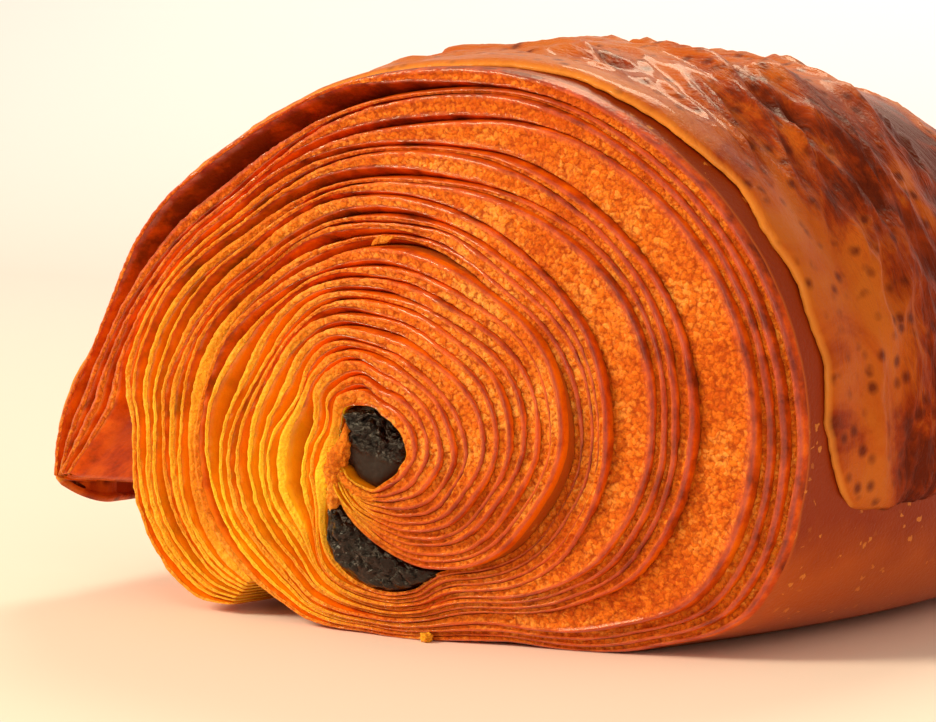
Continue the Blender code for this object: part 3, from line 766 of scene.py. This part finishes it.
def build_stick(kind, material, node_name):
    """One bar of chocolate, melted and set again, with bubbled faces at its ends."""
    around = np.linspace(0.0, 2 * math.pi, 181)
    cap = np.linspace(0.0, 1.0, 44) ** 0.8
    share = np.concatenate((cap, np.ones(STICK_ROWS), cap[::-1]))
    end = np.concatenate((-np.ones(len(cap)), np.zeros(STICK_ROWS), np.ones(len(cap))))
    turn, radius = stick_rows(kind, share[None, :], around[:, None])
    angle = np.radians(turn)
    x, z = radius * np.cos(angle), radius * np.sin(angle)
    recess = 0.5 if kind == "upper" else -0.1
    if kind == "upper":
        hollow = 2.6 * np.exp(-(((x - 1.2) / 1.7) ** 2 + ((z - 2.2) / 1.5) ** 2))
        facet = smooth_step(-0.2, -1.4, z + 0.25 * x)
    else:
        hollow = 2.4 * smooth_step(282.0, 300.0, turn) + 0.8 * smooth_step(232.0, 214.0, turn)
        facet = 0.4 * smooth_step(-11.0, -12.5, z)
    frothy = 1.1 * bubbles(x, z, end * 9.0, 1.9, 51) + 0.55 * bubbles(x, z, end * 9.0, 0.8, 52)
    frothy = (1 - 0.9 * facet) * frothy
    rounded = 0.7 * share[None, :] ** 8
    length_front = half_length(-1) - dome_depth(turn, radius, -1)
    length_back = half_length(1) - dome_depth(turn, radius, 1)
    front = -(length_front - recess - hollow - rounded + frothy)
    back = length_back - recess - rounded + frothy
    along = np.linspace(0.0, 1.0, STICK_ROWS + 2)[1:-1]
    middle = np.concatenate((np.zeros(len(cap)), along, np.ones(len(cap))))
    points = place(turn, radius, mix(front, back, middle[None, :]))
    points[-1] = points[0]
    mesh = grid_mesh(node_name, points, {"facet": facet}, closed_rows=False)
    return add_piece(f"melted_{node_name}", mesh, material, "chocolate", node_name)


# Materials


def new_material(name):
    material = bpy.data.materials.new(name)
    material.use_nodes = True
    tree = material.node_tree
    return material, tree, tree.nodes["Principled BSDF"]


def feed(tree, socket, value):
    """Sets an input, or links it where the value is the output of another node."""
    if isinstance(value, bpy.types.NodeSocket):
        tree.links.new(value, socket)
    else:
        socket.default_value = value


def feed_all(tree, node, values):
    for name, value in values.items():
        feed(tree, node.inputs[name], value)


def put(tree, kind, **settings):
    """Adds a node. A keyword is a property of the node, or sets an input where it starts with in_."""
    made = tree.nodes.new(kind)
    for name, value in settings.items():
        if not name.startswith("in_"):
            setattr(made, name, value)
    for name, value in settings.items():
        if name.startswith("in_"):
            key = name[3:]
            feed(tree, made.inputs[int(key) if key.isdigit() else key.replace("_", " ")], value)
    return made


def ramp(tree, factor, stops):
    """A colour ramp of (position, colour) stops."""
    made = put(tree, "ShaderNodeValToRGB", in_0=factor)
    elements = made.color_ramp.elements
    while len(elements) < len(stops):
        elements.new(0.5)
    for element, (position, colour) in zip(elements, stops):
        element.position = position
        element.color = colour
    return made.outputs["Color"]


def blend_colour(tree, factor, first, second):
    made = put(tree, "ShaderNodeMix", data_type="RGBA", in_0=factor, in_6=first, in_7=second)
    return made.outputs[2]


def maths(tree, how, first, second=0.0, clamp=False):
    return put(tree, "ShaderNodeMath", operation=how, use_clamp=clamp, in_0=first, in_1=second).outputs[0]


def plus(tree, first, second):
    return maths(tree, "ADD", first, second)


def minus(tree, first, second, clamp=False):
    return maths(tree, "SUBTRACT", first, second, clamp)


def times(tree, first, second, clamp=False):
    return maths(tree, "MULTIPLY", first, second, clamp)


def spread(tree, value, low, high, at_low=0.0, at_high=1.0):
    """The share of the way from low to high, or from one given end to the other."""
    made = put(tree, "ShaderNodeMapRange", in_0=value, in_1=low, in_2=high, in_3=at_low, in_4=at_high)
    return made.outputs[0]


def bumped(tree, height, strength, depth):
    """A normal raised by a height, with the depth in mm."""
    made = put(tree, "ShaderNodeBump", in_Strength=strength, in_Distance=depth * MM, in_Height=height)
    return made.outputs[0]


def attribute(tree, name):
    return put(tree, "ShaderNodeAttribute", attribute_name=name).outputs["Fac"]


def object_place(tree):
    return put(tree, "ShaderNodeTexCoord").outputs["Object"]


def field(tree, place_socket, scale, detail=4.0, rough=0.55, distortion=0.0):
    """Noise from 0 to 1; scale is in features for each metre."""
    made = put(tree, "ShaderNodeTexNoise", in_Vector=place_socket, in_Scale=scale, in_Detail=detail,
               in_Roughness=rough, in_Distortion=distortion)
    return made.outputs["Fac"]


def crumb_group():
    """Shared effect: the coarse grain of a torn or cut leaf edge, with a mask of painted shade in the pits
    between the grains.
    """
    group = bpy.data.node_groups.new("Crumb grain", "ShaderNodeTree")
    inside = group.interface
    inside.new_socket("Scale", in_out="INPUT", socket_type="NodeSocketFloat").default_value = 2200.0
    for output in ("Height", "Pit_shade", "Tone"):
        inside.new_socket(output, in_out="OUTPUT", socket_type="NodeSocketFloat")
    start = group.nodes.new("NodeGroupInput")
    end = group.nodes.new("NodeGroupOutput")
    spot = object_place(group)
    warp = put(group, "ShaderNodeTexNoise", in_Vector=spot, in_Scale=1500.0, in_Detail=2.0)
    off = put(group, "ShaderNodeVectorMath", operation="MULTIPLY_ADD", in_0=warp.outputs["Color"],
              in_1=(0.9 * MM, 0.9 * MM, 0.9 * MM), in_2=spot)
    cells = put(group, "ShaderNodeTexVoronoi", in_Vector=off.outputs[0], in_Scale=start.outputs["Scale"])
    fine = field(group, spot, 3300.0, 3.0, 0.65)
    away = times(group, cells.outputs["Distance"], 0.75)
    height = plus(group, minus(group, 0.6, away), fine)
    group.links.new(height, end.inputs["Height"])
    # Painted shade: the mask is strongest where the grain's height is lowest, in the pits.
    pits = spread(group, minus(group, plus(group, away, 0.9), fine), 0.66, 1.10)
    group.links.new(pits, end.inputs["Pit_shade"])
    parts = put(group, "ShaderNodeSeparateColor", in_0=cells.outputs["Color"])
    group.links.new(parts.outputs[0], end.inputs["Tone"])
    return group


def leaf_material(looks, crumb):
    """Cut edges golden and grainy with painted shade in the pits between grains, lips purple-pink, faces
    smooth and orange to red-brown, the pale left side with a painted glow, and painted shade dark in the
    gaps.
    """
    material, tree, shader = new_material("baked_leaf")
    spot = object_place(tree)
    grains = put(tree, "ShaderNodeGroup", node_tree=crumb)
    skin, lip, gap_shade, bake_and_shade, pale, band = (
        attribute(tree, name) for name in ("skin", "lip", "gap_shade", "bake_and_shade", "pale", "band"))
    patch = field(tree, spot, 150.0, 3.0)
    tone = times(tree, grains.outputs["Tone"], 0.30)
    tone = plus(tree, tone, times(tree, patch, 0.95))
    # Darker where the leaf baked darker and where painted shade is laid on it.
    tone = minus(tree, tone, times(tree, bake_and_shade, 0.20))
    cut = ramp(tree, tone, (
        (0.34, looks.leaf_amber), (0.57, looks.leaf_gold), (0.84, looks.leaf_pale)))
    # Painted shade in the pits between the grains, weaker on the pale side.
    pits = times(tree, grains.outputs["Pit_shade"], minus(tree, 1.0, pale, True))
    cut = blend_colour(tree, times(tree, pits, 0.9), cut, looks.leaf_pit_shade)
    streak = field(tree, spot, 420.0, 4.0, 0.6)
    mottle = plus(tree, streak, times(tree, minus(tree, 0.35, bake_and_shade), 0.5))
    face = ramp(tree, mottle, (
        (0.22, looks.skin_brown), (0.42, looks.skin_red), (0.62, looks.skin_orange)))
    # Painted glow: the pale left side is painted brighter and yellower, for light shining through the thin
    # leaves as well as for paler dough.
    painted_glow = times(tree, pale, plus(tree, 0.65, times(tree, patch, 0.7)), True)
    cut = blend_colour(tree, painted_glow, cut, looks.leaf_yellow)
    face = blend_colour(tree, times(tree, painted_glow, 0.75), face, looks.skin_yellow)
    colour = blend_colour(tree, skin, cut, face)
    rim = ramp(tree, streak, ((0.35, looks.lip_purple), (0.65, looks.lip_pink)))
    lip_share = times(tree, lip, plus(tree, 0.55, times(tree, bake_and_shade, 0.6)), True)
    colour = blend_colour(tree, lip_share, colour, rim)
    # Painted shade, dark brown, deep in the gaps between leaves.
    colour = blend_colour(tree, times(tree, gap_shade, 0.8), colour, looks.gap_shade_brown)
    redness = plus(tree, times(tree, patch, 0.5), times(tree, band, 0.6))
    smooth_band = ramp(tree, redness, ((0.40, looks.side_amber), (0.72, looks.band_red)))
    flakes = spread(tree, grains.outputs["Tone"], 0.965, 0.985)
    flakes = times(tree, flakes, maths(tree, "GREATER_THAN", patch, 0.53))
    smooth_band = blend_colour(tree, times(tree, flakes, 0.6), smooth_band, looks.crust_pale)
    colour = blend_colour(tree, maths(tree, "GREATER_THAN", band, 0.001), colour, smooth_band)
    rough = minus(tree, 0.62, times(tree, skin, 0.25))
    rougher = minus(tree, 1.0, times(tree, skin, 0.85))
    height = times(tree, grains.outputs["Height"], rougher)
    feed_all(tree, shader, {
        "Base Color": colour, "Roughness": rough,
        "Specular IOR Level": 0.20, "Specular Tint": (1.0, 0.62, 0.40, 1.0),
        "Coat Weight": times(tree, lip, 0.8), "Coat Roughness": 0.10,
        "Subsurface Weight": 0.25, "Subsurface Radius": (1.0, 0.35, 0.02), "Subsurface Scale": 1.4 * MM,
        "Normal": bumped(tree, height, 0.9, 0.25),
    })
    return material


def crust_material(looks, crumb):
    """Egg-glazed crust: orange to dark red-brown, freckled, with painted shade in the creases and behind the
    front ridge, painted light on the ridges, folds and top, and pale crisp edges that are partly a painted
    highlight.
    """
    material, tree, shader = new_material("glazed_crust")
    spot = object_place(tree)
    top, high, edge, busy, crease_shade, ridge_highlight, dark = (
        attribute(tree, name) for name in ("top", "high", "edge", "busy", "crease_shade", "ridge_highlight", "dark"))
    patch = field(tree, spot, 75.0, 5.0, 0.6, 0.8)
    drawn_out = put(tree, "ShaderNodeMapping", in_Vector=spot, in_Scale=(0.26, 1.0, 0.26)).outputs[0]
    # Fold lines: they raise the bump, and in the colour they add a painted highlight on their crests and
    # painted shade between them.
    folds_and_painted_light = maths(tree, "ABSOLUTE", minus(tree, field(tree, drawn_out, 620.0, 4.0, 0.6, 0.7), 0.5))
    folds_and_painted_light = minus(tree, 0.45, times(tree, folds_and_painted_light, 5.0))
    folds_and_painted_light = times(tree, folds_and_painted_light, plus(tree, 0.25, busy))
    level = patch
    # Painted shade in the creases and behind the front ridge, painted light on the ridges, folds and top;
    # busy wrinkled zones are darker too.
    for mask, amount in (
            (busy, -0.09), (crease_shade, -0.10), (ridge_highlight, 0.10), (dark, -0.10), (high, 0.14), (folds_and_painted_light, 0.10)):
        level = plus(tree, level, times(tree, mask, amount))
    colour = ramp(tree, level, (
        (0.30, looks.crust_dark), (0.42, looks.crust_red), (0.53, looks.crust_amber),
        (0.66, looks.crust_gold)))
    cells = put(tree, "ShaderNodeTexVoronoi", in_Vector=spot, in_Scale=540.0).outputs["Distance"]
    some = spread(tree, field(tree, spot, 230.0, 3.0), 0.40, 0.52)
    freckles = times(tree, spread(tree, cells, 0.14, 0.42, 1.0, 0.0), some)
    colour = blend_colour(tree, times(tree, freckles, 0.85), colour, looks.crust_dark)
    # Pale torn edge, partly its own colour and partly a painted highlight on the lit rim.
    colour = blend_colour(tree, times(tree, edge, 0.75), colour, looks.crust_pale)
    glaze = times(tree, top, minus(tree, 0.24, times(tree, dark, 0.18)))
    crinkle = field(tree, spot, 620.0, 5.0, 0.62, 0.3)
    pores = put(tree, "ShaderNodeGroup", node_tree=crumb)
    bumps = plus(tree, crinkle, times(tree, pores.outputs["Height"], 0.25))
    bumps = plus(tree, bumps, times(tree, folds_and_painted_light, 1.1))
    feed_all(tree, shader, {
        "Base Color": colour, "Roughness": 0.48,
        "Specular IOR Level": 0.14, "Specular Tint": (1.0, 0.55, 0.32, 1.0),
        "Coat Weight": plus(tree, 0.03, glaze), "Coat Roughness": 0.10,
        "Coat IOR": 1.28, "Coat Tint": (1.0, 0.86, 0.72, 1.0),
        "Subsurface Weight": 0.12, "Subsurface Radius": (1.0, 0.30, 0.06), "Subsurface Scale": 1.2 * MM,
        "Normal": bumped(tree, bumps, 0.5, 0.34),
    })
    return material


def chocolate_material(looks):
    """Near-black chocolate, bubbled and glossy where it has frothed and matt where it has set flat."""
    material, tree, shader = new_material("dark_chocolate")
    spot = object_place(tree)
    facet = attribute(tree, "facet")
    patch = field(tree, spot, 700.0, 4.0)
    colour = ramp(tree, patch, ((0.42, looks.chocolate_black), (0.66, looks.chocolate_brown)))
    colour = blend_colour(tree, times(tree, facet, 0.8), colour, looks.chocolate_grey)
    bubble = put(tree, "ShaderNodeTexVoronoi", in_Vector=spot, in_Scale=1250.0).outputs["Distance"]
    fine = field(tree, spot, 4200.0, 3.0, 0.6)
    height = minus(tree, times(tree, fine, 0.35), bubble)
    strength = minus(tree, 1.0, times(tree, facet, 0.85))
    feed_all(tree, shader, {
        "Base Color": colour, "Roughness": plus(tree, 0.10, times(tree, facet, 0.42)),
        "Specular IOR Level": 0.36, "Specular Tint": (1.0, 0.84, 0.78, 1.0),
        "Coat Weight": minus(tree, 0.20, times(tree, facet, 0.18)),
        "Coat Roughness": 0.06, "Normal": bumped(tree, height, strength, 0.7),
    })
    return material


def stage_material(looks):
    """Plain paper sweep, warm in front and paler behind; this grading is painted light, standing in for how
    the lamps fall on the sweep.
    """
    material, tree, shader = new_material("paper_sweep")
    spot = object_place(tree)
    parts = put(tree, "ShaderNodeSeparateXYZ", in_0=spot)
    far = spread(tree, parts.outputs["Y"], -0.15, 0.75)
    fibre = field(tree, spot, 300.0, 4.0)
    # Painted light: the colour is graded from front to back to stand in for how the sweep is lit.
    colour = ramp(tree, far, (
        (0.05, looks.floor_near), (0.50, looks.floor_middle), (0.90, looks.floor_far)))
    shade = times(tree, fibre, 0.03)
    colour = blend_colour(tree, shade, colour, looks.floor_near)
    feed_all(tree, shader, {"Base Color": colour, "Roughness": 0.8, "Specular IOR Level": 0.2})
    return material


# Stage


def build_sweep(material):
    """A paper sweep: flat under the pastry, then curving up ever more steeply behind it."""
    bm = bmesh.new()
    bmesh.ops.create_grid(bm, x_segments=1, y_segments=48, size=1.0)
    for vert in bm.verts:
        way = vert.co.y * SWEEP_REACH + SWEEP_MIDDLE
        rise = SWEEP_CURVE * max(0.0, way - SWEEP_FROM) ** 2
        vert.co = Vector((vert.co.x * SWEEP_HALF_WIDTH, way, rise))
    mesh = bpy.data.meshes.new("sweep")
    bm.to_mesh(mesh)
    bm.free()
    mesh.shade_smooth()
    mesh.materials.append(material)
    sweep = bpy.data.objects.new("sweep", mesh)
    bpy.context.scene.collection.objects.link(sweep)


def add_light(name, spot, aim, size, power, colour):
    data = bpy.data.lights.new(name, "AREA")
    data.shape = "RECTANGLE"
    data.size, data.size_y = size
    data.energy = power
    data.color = colour
    lamp = bpy.data.objects.new(name, data)
    spot, aim = Vector(spot), Vector(aim)
    lamp.matrix_world = Matrix.Translation(spot) @ (aim - spot).to_track_quat("-Z", "Y").to_matrix().to_4x4()
    bpy.context.scene.collection.objects.link(lamp)


def build_lights(light):
    middle = (0.0, -0.01, 0.025)
    add_light("key", (-0.66, -0.98, 0.74), middle, (0.45, 0.45), light.key, (1.0, 0.84, 0.54))
    add_light("back", (-0.30, 0.75, 0.85), middle, (0.42, 0.32), light.back, (1.0, 0.86, 0.62))
    add_light("fill", (0.80, -0.75, 0.45), middle, (0.40, 0.50), light.fill, (1.0, 0.84, 0.56))
    add_light("wash", (-0.10, 0.45, 0.95), (-0.55, 1.6, 0.35), (1.2, 0.5), light.wash, (1.0, 0.97, 0.88))
    world = bpy.data.worlds.new("studio")
    world.use_nodes = True
    background = world.node_tree.nodes["Background"]
    background.inputs["Color"].default_value = (1.0, 0.86, 0.60, 1.0)
    background.inputs["Strength"].default_value = light.around
    bpy.context.scene.world = world


def build_camera():
    """The photograph's view: its direction, distance and framing, worked out from one known point."""
    azimuth, elevation = math.radians(CAMERA_AZIMUTH), math.radians(CAMERA_ELEVATION)
    level = math.cos(elevation)
    forward = Vector((-math.sin(azimuth) * level, math.cos(azimuth) * level, -math.sin(elevation)))
    right = Vector((math.cos(azimuth), math.sin(azimuth), 0.0))
    up = right.cross(forward)
    aim = Vector((CENTRE[0], CENTRE[1] - HALF_LENGTH, CENTRE[2]))
    off_x = (AIM_PIXEL[0] - FRAME_PIXELS[0] / 2) / PIXELS_PER_MM
    off_y = (FRAME_PIXELS[1] / 2 - AIM_PIXEL[1]) / PIXELS_PER_MM
    spot = (aim - forward * CAMERA_DISTANCE - right * off_x - up * off_y) * MM
    data = bpy.data.cameras.new("camera")
    data.sensor_width = SENSOR
    data.lens = PIXELS_PER_MM * CAMERA_DISTANCE * SENSOR / FRAME_PIXELS[0]
    data.clip_start = 0.01
    camera = bpy.data.objects.new("camera", data)
    turn = Matrix((right, up, -forward)).transposed().to_4x4()
    camera.matrix_world = Matrix.Translation(spot) @ turn
    bpy.context.scene.collection.objects.link(camera)
    bpy.context.scene.camera = camera


# Settings, operators and panel


def colour_property(name, description, value):
    return bpy.props.FloatVectorProperty(
        name=name, description=description, subtype="COLOR", size=4, min=0.0, max=1.0, default=(*value, 1.0))


class PastryLooks(bpy.types.PropertyGroup):
    """Colours of the baked leaves, crust, chocolate and stage."""

    leaf_pale: colour_property("Pale crumb", "Palest grains of a cut leaf", (1.0, 0.40, 0.075))
    leaf_gold: colour_property("Golden crumb", "Usual colour of a cut leaf", (0.84, 0.20, 0.014))
    leaf_amber: colour_property("Amber crumb", "Darker grains of a cut leaf", (0.62, 0.10, 0.005))
    # Painted shade in the pits between the grains.
    leaf_pit_shade: colour_property("Brown specks", "Baked specks between the grains", (0.36, 0.045, 0.003))
    # Painted glow on the pale left side, as well as paler dough.
    leaf_yellow: colour_property("Yellow crumb", "Cut leaves on the palest side", (1.0, 0.62, 0.035))
    skin_orange: colour_property("Orange skin", "Palest part of a leaf's face", (0.94, 0.17, 0.001))
    # Painted glow on the pale left side, as well as paler dough.
    skin_yellow: colour_property("Yellow skin", "Leaf faces on the palest side", (1.0, 0.45, 0.001))
    skin_red: colour_property("Red skin", "Usual colour of a leaf's face", (0.64, 0.072, 0.0015))
    skin_brown: colour_property("Brown skin", "Darkest part of a leaf's face", (0.20, 0.020, 0.002))
    lip_purple: colour_property("Purple lip", "Caramelised edge of a leaf", (0.22, 0.024, 0.020))
    lip_pink: colour_property("Pink lip", "Palest caramel of a leaf's edge", (0.58, 0.095, 0.055))
    # Painted shade deep in the gaps between leaves.
    gap_shade_brown: colour_property("Gap", "Depth between two leaves", (0.16, 0.016, 0.003))
    band_red: colour_property("Red band", "Outermost leaf in front of the crust", (0.27, 0.028, 0.002))
    side_amber: colour_property("Amber side", "Outermost leaf under the crust", (0.46, 0.085, 0.009))
    # Partly a painted highlight on the crust's lit rim; also the colour of pale flakes.
    crust_pale: colour_property("Crust edge", "Thin pale edge of the crust", (0.80, 0.30, 0.05))
    crust_gold: colour_property("Golden crust", "Palest crust", (0.54, 0.135, 0.014))
    crust_amber: colour_property("Amber crust", "Usual crust", (0.50, 0.100, 0.008))
    crust_red: colour_property("Red crust", "Well baked crust", (0.30, 0.034, 0.003))
    crust_dark: colour_property("Dark crust", "Darkest crust", (0.12, 0.012, 0.003))
    chocolate_black: colour_property("Black chocolate", "Darkest chocolate", (0.0010, 0.0006, 0.0006))
    chocolate_brown: colour_property("Brown chocolate", "Frothed chocolate", (0.008, 0.0022, 0.0016))
    chocolate_grey: colour_property("Set chocolate", "Flat, matt chocolate", (0.013, 0.007, 0.006))
    # Painted light: these three colours grade the sweep from front to back as it is lit.
    floor_near: colour_property("Near floor", "Stage colour in front", (0.94, 0.83, 0.80))
    floor_middle: colour_property("Middle floor", "Stage colour beside the pastry", (0.95, 0.66, 0.71))
    floor_far: colour_property("Far floor", "Stage colour behind", (0.95, 0.85, 1.0))


class PastryLight(bpy.types.PropertyGroup):
    """Strength of the stage lights."""

    key: bpy.props.FloatProperty(
        name="Key", description="Large soft light at the left", default=18.0, min=0.0, unit="POWER")
    back: bpy.props.FloatProperty(
        name="Back", description="Light behind the top", default=5.5, min=0.0, unit="POWER")
    fill: bpy.props.FloatProperty(
        name="Fill", description="Weaker light at the right", default=2.2, min=0.0, unit="POWER")
    wash: bpy.props.FloatProperty(
        name="Wash", description="Light on the backdrop", default=2.0, min=0.0, unit="POWER")
    around: bpy.props.FloatProperty(
        name="Around", description="Even light from everywhere", default=0.55, min=0.0)


class PASTRY_OT_leaves(bpy.types.Operator):
    """Build the leaves of the rolled sheet"""

    bl_idname = "pastry.leaves"
    bl_label = "Leaves"

    def execute(self, context):
        material = leaf_material(context.scene.pastry_looks, crumb_group())
        for leaf in range(LEAVES):
            build_leaf(leaf, material)
        build_strand("torn_hole_wall", HOLE_WALL, 0.2, 3.0, material)
        build_strand("torn_hole_sill", HOLE_SILL, 0.1, 2.0, material)
        build_strand("torn_flake", FLAKE, -0.9, 0.25, material)
        build_crumb(material)
        return {"FINISHED"}


class PASTRY_OT_crust(bpy.types.Operator):
    """Build the glazed crust over the roll"""

    bl_idname = "pastry.crust"
    bl_label = "Crust"

    def execute(self, context):
        crumb = bpy.data.node_groups.get("Crumb grain") or crumb_group()
        build_crust(crust_material(context.scene.pastry_looks, crumb))
        return {"FINISHED"}


class PASTRY_OT_chocolate(bpy.types.Operator):
    """Build the two chocolate sticks"""

    bl_idname = "pastry.chocolate"
    bl_label = "Chocolate"

    def execute(self, context):
        material = chocolate_material(context.scene.pastry_looks)
        build_stick("upper", material, "chocolate_stick_upper")
        build_stick("lower", material, "chocolate_stick_lower")
        return {"FINISHED"}


class PASTRY_OT_stage(bpy.types.Operator):
    """Build the floor sweep, lights and camera"""

    bl_idname = "pastry.stage"
    bl_label = "Stage"

    def execute(self, context):
        build_sweep(stage_material(context.scene.pastry_looks))
        build_lights(context.scene.pastry_light)
        build_camera()
        return {"FINISHED"}


class PASTRY_PT_panel(bpy.types.Panel):
    """Pastry builder"""

    bl_idname = "PASTRY_PT_panel"
    bl_label = "Pain au chocolat"
    bl_space_type = "VIEW_3D"
    bl_region_type = "UI"
    bl_category = "Pastry"

    def draw(self, context):
        for group in (context.scene.pastry_looks, context.scene.pastry_light):
            for name in group.bl_rna.properties.keys():
                if name not in ("rna_type", "name"):
                    self.layout.prop(group, name)
        for operator in OPERATORS:
            self.layout.operator(operator.bl_idname)


OPERATORS = (PASTRY_OT_leaves, PASTRY_OT_crust, PASTRY_OT_chocolate, PASTRY_OT_stage)
CLASSES = (PastryLooks, PastryLight, *OPERATORS, PASTRY_PT_panel)


def register():
    for each in CLASSES:
        bpy.utils.register_class(each)
    bpy.types.Scene.pastry_looks = bpy.props.PointerProperty(type=PastryLooks)
    bpy.types.Scene.pastry_light = bpy.props.PointerProperty(type=PastryLight)


def unregister():
    del bpy.types.Scene.pastry_light
    del bpy.types.Scene.pastry_looks
    for each in reversed(CLASSES):
        bpy.utils.unregister_class(each)


def main():
    register()
    bpy.context.scene.view_settings.view_transform = "Standard"
    bpy.ops.pastry.leaves()
    bpy.ops.pastry.crust()
    bpy.ops.pastry.chocolate()
    bpy.ops.pastry.stage()


if __name__ == "__main__":
    main()
